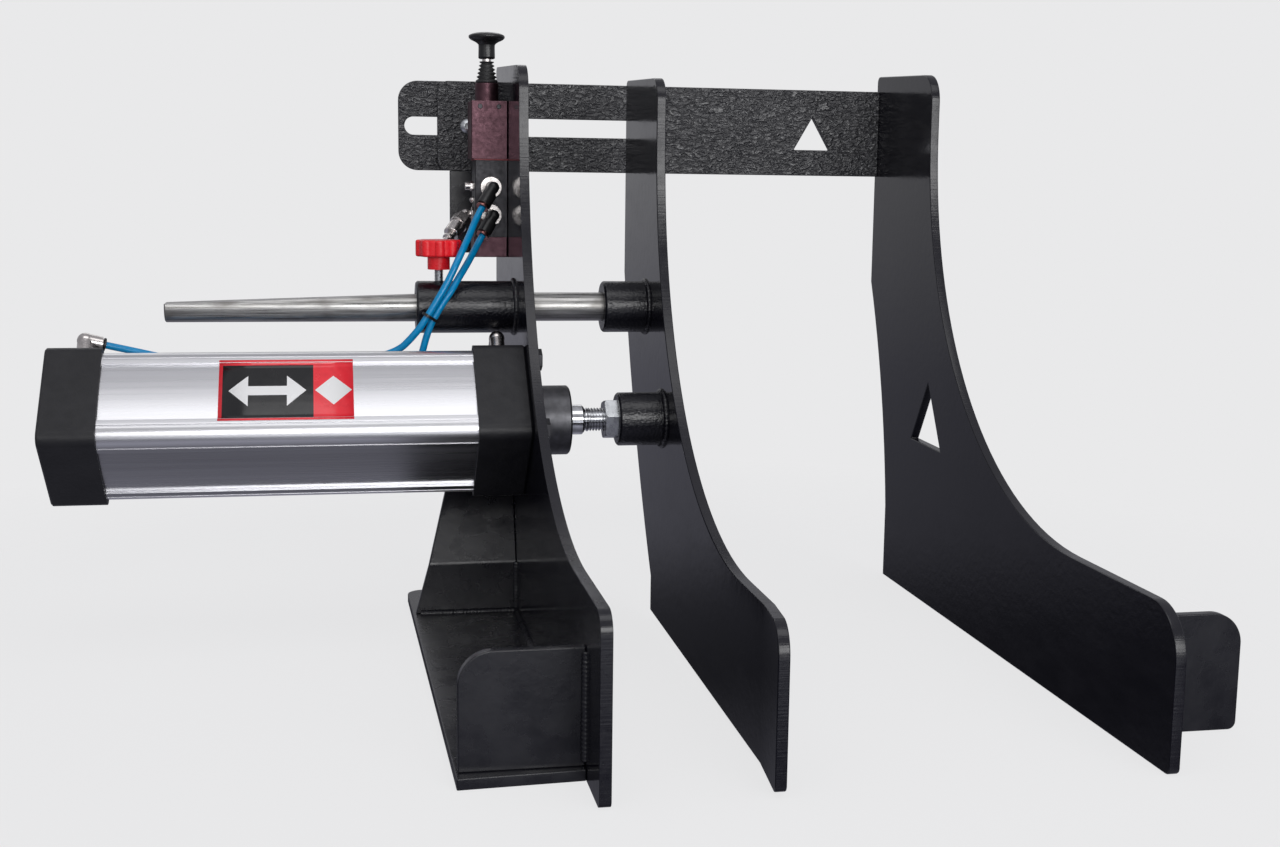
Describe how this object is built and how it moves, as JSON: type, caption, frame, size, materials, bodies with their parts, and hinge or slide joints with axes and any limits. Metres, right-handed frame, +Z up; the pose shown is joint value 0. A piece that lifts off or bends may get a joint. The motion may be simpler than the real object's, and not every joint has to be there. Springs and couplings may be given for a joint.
{
  "type": "pneumatic wheel clamp",
  "caption": "Pneumatic wheel clamp for a motorcycle lift bench: a profile cylinder pushes a moving jaw plate along a guide rod towards a fixed jaw on a slotted bar.",
  "frame": {"origin": "on the bench plane under the cylinder axis, in the middle of the left jaw plate's thickness", "axes": "+X along the cylinder from the rear cap to the fixed jaw, -Y towards the arriving wheel, +Z up"},
  "size_m": [0.855, 0.641, 0.5148],
  "materials": {
    "gloss_black": "gloss black powder coat on laser-cut plate",
    "wrinkle_black": "coarse textured black powder coat",
    "cap_black": "matte black die-cast",
    "anodised_tube": "satin clear anodised extrusion",
    "bright_steel": "ground steel bar",
    "rod_chrome": "hard chromed rod",
    "zinc": "zinc plated fastener",
    "black_steel": "black oxide steel",
    "valve_purple": "purple-brown anodised block",
    "valve_grey": "dark grey anodised block",
    "gasket_red": "red-brown gasket",
    "black_rubber": "moulded rubber",
    "black_plastic": "glass-filled nylon",
    "red_plastic": "moulded red plastic",
    "blue_tube": "polyurethane air tube",
    "nickel": "nickel plated brass",
    "collet_brown": "red-brown plastic release collet"
  },
  "bodies": {
    "frame": {"left_jaw_plate": "gloss_black", "guide_bush": "gloss_black", "bar_bracket": "wrinkle_black", "valve_strip": "wrinkle_black", "left_apron": "gloss_black", "left_base_plate": "gloss_black", "left_lug": "wrinkle_black", "cylinder_tube": "anodised_tube", "rear_cap": "cap_black", "front_cap": "cap_black", "rear_cap_screws": "zinc", "plate_screws": "zinc", "rod_gland": "cap_black", "rod_wiper": "black_rubber", "bar_clamp_screw": "zinc", "bar_clamp_nut": "zinc", "bar_clamp_washer": "zinc", "valve_body": "valve_grey", "valve_head": "valve_purple", "valve_head_screws": "black_steel", "valve_gasket": "gasket_red", "valve_neck": "valve_purple", "valve_bottom_cap": "valve_purple", "valve_boot": "black_rubber", "valve_elbow_upper": "black_plastic", "valve_elbow_lower": "black_plastic", "valve_port_rings": "nickel", "exhaust_silencer": "nickel", "blanking_plug": "nickel", "inlet_stud": "nickel", "rear_cap_elbow": "nickel", "front_cap_elbow": "nickel", "tube_to_rear_cap": "blue_tube", "tube_to_front_cap": "blue_tube", "cable_tie": "black_plastic"},
    "moving_jaw": {"moving_jaw_plate": "gloss_black", "rod_boss": "gloss_black", "guide_boss": "gloss_black", "guide_rod": "bright_steel", "piston_rod": "rod_chrome", "lock_nut": "zinc", "piston": "anodised_tube", "piston_seals": "black_rubber"},
    "fixed_jaw": {"spacer_bar": "wrinkle_black", "right_jaw_plate": "gloss_black", "right_base_plate": "gloss_black", "right_lug": "wrinkle_black"},
    "valve_button": {"valve_knob": "black_plastic", "valve_spool": "bright_steel"},
    "stop_screw_pad": {"stop_pad": "zinc"},
    "stop_screw": {"stop_knob": "red_plastic", "stop_stud": "zinc"},
    "inlet_swivel": {"inlet_elbow": "nickel", "inlet_nipple": "nickel"},
    "upper_collet": {"valve_collet_upper": "collet_brown"},
    "lower_collet": {"valve_collet_lower": "collet_brown"},
    "rear_collet": {"rear_cap_collet": "black_plastic"},
    "front_collet": {"front_cap_collet": "black_plastic"}
  },
  "joints": [
    {"name": "jaw_slide", "type": "slide", "parent": "frame", "child": "moving_jaw", "axis": [1, 0, 0], "range_m": [-0.004, 0.246]},
    {"name": "fixed_jaw_slide", "type": "slide", "parent": "frame", "child": "fixed_jaw", "axis": [1, 0, 0], "range_m": [-0.162, 0.052]},
    {"name": "valve_push_pull", "type": "slide", "parent": "frame", "child": "valve_button", "axis": [0, 0, 1], "range_m": [-0.005, 0.005], "deforming": ["valve_boot"]},
    {"name": "stop_screw_feed", "type": "slide", "parent": "frame", "child": "stop_screw_pad", "axis": [0, 0, 1], "range_m": [0, 0.005]},
    {"name": "stop_screw_turn", "type": "hinge", "parent": "stop_screw_pad", "child": "stop_screw", "pos_m": [-0.069, 0.079, 0.3], "axis": [0, 0, 1], "range_deg": [0, 1441]},
    {"name": "inlet_swivel", "type": "hinge", "parent": "frame", "child": "inlet_swivel", "pos_m": [-0.04, 0.144, 0.354], "axis": [1, 0, 0], "continuous": true},
    {"name": "upper_collet_press", "type": "slide", "parent": "frame", "child": "upper_collet", "axis": [0.4811, 0.4257, 0.7663], "range_m": [0, 0.0012], "stiffness_N_per_m": 1500},
    {"name": "lower_collet_press", "type": "slide", "parent": "frame", "child": "lower_collet", "axis": [0.4811, 0.4257, 0.7663], "range_m": [0, 0.0012], "stiffness_N_per_m": 1500},
    {"name": "rear_collet_press", "type": "slide", "parent": "frame", "child": "rear_collet", "axis": [-0.9397, -0.2418, 0.2418], "range_m": [0, 0.0012], "stiffness_N_per_m": 1500},
    {"name": "front_collet_press", "type": "slide", "parent": "frame", "child": "front_collet", "axis": [0, -0.7071, 0.7071], "range_m": [0, 0.0012], "stiffness_N_per_m": 1500}
  ],
  "couplings": [
    {"joint": "stop_screw_turn", "follows": "stop_screw_feed", "rad_per_m": 5026.5}
  ]
}
